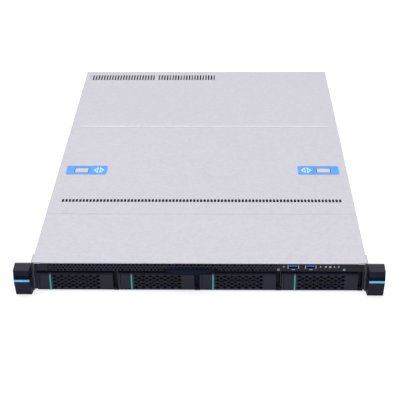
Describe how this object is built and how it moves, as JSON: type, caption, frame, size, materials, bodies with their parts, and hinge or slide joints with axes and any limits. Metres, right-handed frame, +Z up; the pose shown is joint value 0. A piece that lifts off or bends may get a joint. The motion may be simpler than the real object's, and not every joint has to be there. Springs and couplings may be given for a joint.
{
  "type": "1u rack server",
  "caption": "Flat one-unit rack server with front drive carriers, a sliding top cover, black rack ears and hot-swap power supplies at the rear.",
  "frame": {"origin": "on the underside, on the centre line, in the plane where the ears meet the rack", "axes": "+X to the right seen from the front, +Y from front to rear, +Z up"},
  "size_m": [0.4826, 0.695, 0.0438],
  "materials": {
    "galvanised_steel": "galvanised sheet with a fine spangle",
    "bright_steel": "bright nickel-plated steel",
    "black_steel": "black powder coat",
    "black_plastic": "fine moulded grain",
    "fan_plastic": "moulded",
    "usb_blue": "moulded",
    "stripe_blue": "smooth inlay",
    "label_blue": "printed film",
    "teal_plastic": "moulded strip",
    "circuit_board": "solder mask",
    "bare_aluminium": "machined and cast",
    "drive_case": "dark coated casting",
    "supply_case": "plain sheet case, density of a packed supply",
    "latch_teal": "moulded latch",
    "port_metal": "plated shells"
  },
  "bodies": {
    "chassis": {"chassis_tub": "galvanised_steel", "rear_panel": "galvanised_steel", "front_cover": "galvanised_steel", "drive_cage": "galvanised_steel", "front_bezel": "black_steel", "control_panel": "black_plastic", "usb_shells": "bright_steel", "usb_tongues": "usb_blue", "ear_brackets": "galvanised_steel", "ear_housings": "black_plastic", "ear_stripes": "stripe_blue", "motherboard": "circuit_board", "heatsinks": "bare_aluminium", "memory_modules": "circuit_board", "fan_frames": "fan_plastic", "backplane": "circuit_board", "slot_cover": "galvanised_steel", "rear_ports": "port_metal", "supply_cage": "galvanised_steel", "supply_board": "circuit_board"},
    "cover": {"top_cover": "galvanised_steel", "cover_labels": "label_blue"},
    "latch_left": {"cover_latch_left": "bright_steel"},
    "latch_right": {"cover_latch_right": "bright_steel"},
    "power_button": {"power_button": "black_plastic"},
    "identify_button": {"identify_button": "black_plastic"},
    "tag": {"pull_tag": "black_plastic"},
    "flap_left": {"ear_flap_left": "black_plastic"},
    "flap_right": {"ear_flap_right": "black_plastic"},
    "rack_screw_left": {"rack_screw_left": "bright_steel"},
    "rack_screw_right": {"rack_screw_right": "bright_steel"},
    "carrier_1": {"tray_1": "black_plastic", "drive_1": "drive_case", "teal_strip_1": "teal_plastic"},
    "lever_1": {"drive_lever_1": "black_plastic"},
    "release_1": {"release_button_1": "black_plastic"},
    "carrier_2": {"tray_2": "black_plastic", "drive_2": "drive_case", "teal_strip_2": "teal_plastic"},
    "lever_2": {"drive_lever_2": "black_plastic"},
    "release_2": {"release_button_2": "black_plastic"},
    "carrier_3": {"tray_3": "black_plastic", "drive_3": "drive_case", "teal_strip_3": "teal_plastic"},
    "lever_3": {"drive_lever_3": "black_plastic"},
    "release_3": {"release_button_3": "black_plastic"},
    "carrier_4": {"tray_4": "black_plastic", "drive_4": "drive_case", "teal_strip_4": "teal_plastic"},
    "lever_4": {"drive_lever_4": "black_plastic"},
    "release_4": {"release_button_4": "black_plastic"},
    "rotor_1": {"fan_rotor_1": "fan_plastic"},
    "rotor_2": {"fan_rotor_2": "fan_plastic"},
    "rotor_3": {"fan_rotor_3": "fan_plastic"},
    "rotor_4": {"fan_rotor_4": "fan_plastic"},
    "supply_1": {"supply_1": "supply_case"},
    "supply_latch_1": {"supply_latch_1": "latch_teal"},
    "supply_2": {"supply_2": "supply_case"},
    "supply_latch_2": {"supply_latch_2": "latch_teal"}
  },
  "joints": [
    {"name": "cover_slide", "type": "slide", "parent": "chassis", "child": "cover", "axis": [0, 1, 0], "range_m": [0, 0.014]},
    {"name": "power_press", "type": "slide", "parent": "chassis", "child": "power_button", "axis": [0, 1, 0], "range_m": [0, 0.0008], "stiffness_N_per_m": 800},
    {"name": "identify_press", "type": "slide", "parent": "chassis", "child": "identify_button", "axis": [0, 1, 0], "range_m": [0, 0.0008], "stiffness_N_per_m": 800},
    {"name": "tag_slide", "type": "slide", "parent": "chassis", "child": "tag", "axis": [0, -1, 0], "range_m": [0, 0.07]},
    {"name": "latch_left_press", "type": "slide", "parent": "cover", "child": "latch_left", "axis": [0, 0, -1], "range_m": [0, 0.003], "stiffness_N_per_m": 900},
    {"name": "flap_left_swing", "type": "hinge", "parent": "chassis", "child": "flap_left", "pos_m": [-0.2392, -0.0038, 0.0133], "axis": [0, 0, -1], "range_deg": [0, 90]},
    {"name": "rack_screw_left_turn", "type": "hinge", "parent": "chassis", "child": "rack_screw_left", "pos_m": [-0.23255, 0, 0.0218], "axis": [0, 1, 0], "continuous": true},
    {"name": "latch_right_press", "type": "slide", "parent": "cover", "child": "latch_right", "axis": [0, 0, -1], "range_m": [0, 0.003], "stiffness_N_per_m": 900},
    {"name": "flap_right_swing", "type": "hinge", "parent": "chassis", "child": "flap_right", "pos_m": [0.2392, -0.0038, 0.0133], "axis": [0, 0, 1], "range_deg": [0, 90]},
    {"name": "rack_screw_right_turn", "type": "hinge", "parent": "chassis", "child": "rack_screw_right", "pos_m": [0.23255, 0, 0.0218], "axis": [0, 1, 0], "continuous": true},
    {"name": "carrier_1_slide", "type": "slide", "parent": "chassis", "child": "carrier_1", "axis": [0, -1, 0], "range_m": [0, 0.19]},
    {"name": "lever_1_swing", "type": "hinge", "parent": "carrier_1", "child": "lever_1", "pos_m": [-0.1173, 0.0045, 0.014], "axis": [0, 0, 1], "range_deg": [0, 75]},
    {"name": "release_1_press", "type": "slide", "parent": "carrier_1", "child": "release_1", "axis": [0, 1, 0], "range_m": [0, 0.0025], "stiffness_N_per_m": 800},
    {"name": "carrier_2_slide", "type": "slide", "parent": "chassis", "child": "carrier_2", "axis": [0, -1, 0], "range_m": [0, 0.19]},
    {"name": "lever_2_swing", "type": "hinge", "parent": "carrier_2", "child": "lever_2", "pos_m": [-0.0098, 0.0045, 0.014], "axis": [0, 0, 1], "range_deg": [0, 75]},
    {"name": "release_2_press", "type": "slide", "parent": "carrier_2", "child": "release_2", "axis": [0, 1, 0], "range_m": [0, 0.0025], "stiffness_N_per_m": 800},
    {"name": "carrier_3_slide", "type": "slide", "parent": "chassis", "child": "carrier_3", "axis": [0, -1, 0], "range_m": [0, 0.19]},
    {"name": "lever_3_swing", "type": "hinge", "parent": "carrier_3", "child": "lever_3", "pos_m": [0.0977, 0.0045, 0.014], "axis": [0, 0, 1], "range_deg": [0, 75]},
    {"name": "release_3_press", "type": "slide", "parent": "carrier_3", "child": "release_3", "axis": [0, 1, 0], "range_m": [0, 0.0025], "stiffness_N_per_m": 800},
    {"name": "carrier_4_slide", "type": "slide", "parent": "chassis", "child": "carrier_4", "axis": [0, -1, 0], "range_m": [0, 0.19]},
    {"name": "lever_4_swing", "type": "hinge", "parent": "carrier_4", "child": "lever_4", "pos_m": [0.2052, 0.0045, 0.014], "axis": [0, 0, 1], "range_deg": [0, 75]},
    {"name": "release_4_press", "type": "slide", "parent": "carrier_4", "child": "release_4", "axis": [0, 1, 0], "range_m": [0, 0.0025], "stiffness_N_per_m": 800},
    {"name": "rotor_1_spin", "type": "hinge", "parent": "chassis", "child": "rotor_1", "pos_m": [-0.156, 0.2, 0.0214], "axis": [0, 1, 0], "continuous": true},
    {"name": "rotor_2_spin", "type": "hinge", "parent": "chassis", "child": "rotor_2", "pos_m": [-0.052, 0.2, 0.0214], "axis": [0, 1, 0], "continuous": true},
    {"name": "rotor_3_spin", "type": "hinge", "parent": "chassis", "child": "rotor_3", "pos_m": [0.052, 0.2, 0.0214], "axis": [0, 1, 0], "continuous": true},
    {"name": "rotor_4_spin", "type": "hinge", "parent": "chassis", "child": "rotor_4", "pos_m": [0.156, 0.2, 0.0214], "axis": [0, 1, 0], "continuous": true},
    {"name": "supply_1_slide", "type": "slide", "parent": "chassis", "child": "supply_1", "axis": [0, 1, 0], "range_m": [0, 0.19]},
    {"name": "supply_latch_1_press", "type": "hinge", "parent": "supply_1", "child": "supply_latch_1", "pos_m": [0.1544, 0.6555, 0.0194], "axis": [0, 0, 1], "range_deg": [0, 10], "stiffness_Nm_per_rad": 0.15},
    {"name": "supply_2_slide", "type": "slide", "parent": "chassis", "child": "supply_2", "axis": [0, 1, 0], "range_m": [0, 0.19]},
    {"name": "supply_latch_2_press", "type": "hinge", "parent": "supply_2", "child": "supply_latch_2", "pos_m": [0.2128, 0.6555, 0.0194], "axis": [0, 0, 1], "range_deg": [0, 10], "stiffness_Nm_per_rad": 0.15}
  ]
}
